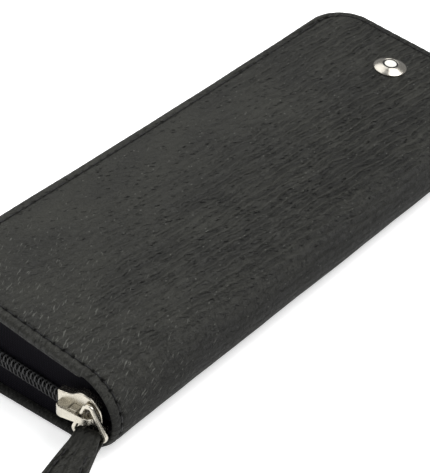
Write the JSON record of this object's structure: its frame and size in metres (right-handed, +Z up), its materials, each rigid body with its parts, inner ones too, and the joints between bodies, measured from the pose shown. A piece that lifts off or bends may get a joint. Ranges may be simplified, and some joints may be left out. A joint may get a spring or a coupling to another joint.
{
  "type": "fountain pen case",
  "caption": "Slim zipped leather case for fountain pens: two padded covers on a rounded spine, zip round three sides with ring and leather pull, stud on the lid.",
  "frame": {"origin": "underside of the lower cover, midway along its length, 34 mm in from its zip edge", "axes": "+Z up from the lower cover, +Y along the length away from the zip pull, +X towards the spine"},
  "size_m": [0.0722, 0.2152, 0.0305],
  "materials": {
    "leather": "soft grained",
    "board": "pressed board",
    "lining": "brushed microfibre",
    "thread": "waxed polyester",
    "tape": "woven",
    "coil": "nylon",
    "nickel": "polished nickel plate",
    "inlay": "glossy",
    "elastic": "knitted"
  },
  "bodies": {
    "base": {"lower_cover_leather": "leather", "lower_cover_board": "board", "lower_cover_lining": "lining", "lower_edge_stitching": "thread", "lower_spine_leather": "leather", "lower_spine_lining": "lining", "lower_zip_tape": "tape", "lower_zip_coil": "coil", "zip_bottom_stop": "coil", "zip_top_stop": "coil", "pen_holder_base": "leather", "front_elastic_loops": "elastic", "rear_elastic_loops": "elastic"},
    "lid": {"upper_cover_leather": "leather", "upper_cover_board": "board", "upper_cover_lining": "lining", "upper_edge_stitching": "thread", "upper_spine_leather": "leather", "upper_spine_lining": "lining", "upper_zip_tape": "tape", "upper_zip_coil": "coil", "stud_cap": "nickel", "stud_inlay": "inlay", "stud_post": "nickel", "stud_washer": "nickel", "slip_pocket": "leather"},
    "slider": {"slider_body": "nickel", "slider_crown": "nickel"},
    "ring": {"pull_ring": "nickel"},
    "tab": {"pull_tab": "leather", "pull_tab_stitching": "thread"}
  },
  "joints": [
    {"name": "lid_hinge", "type": "hinge", "parent": "base", "child": "lid", "pos_m": [0.032, 0, 0.01103], "axis": [0, 1, 0], "range_deg": [0, 172.5]},
    {"name": "slider_travel", "type": "slide", "parent": "base", "child": "slider", "axis": [-0.9979, 0, 0.0654], "range_m": [0, 0.033]},
    {"name": "ring_swing", "type": "hinge", "parent": "slider", "child": "ring", "pos_m": [0.02481, -0.08948, 0.01616], "axis": [-0.3939, -0.1357, -0.9091], "range_deg": [0, 70]},
    {"name": "tab_swing", "type": "hinge", "parent": "ring", "child": "tab", "pos_m": [0.02614, -0.09003, 0.00784], "axis": [0.9886, 0.1431, 0.0469], "range_deg": [-32, 70]}
  ]
}
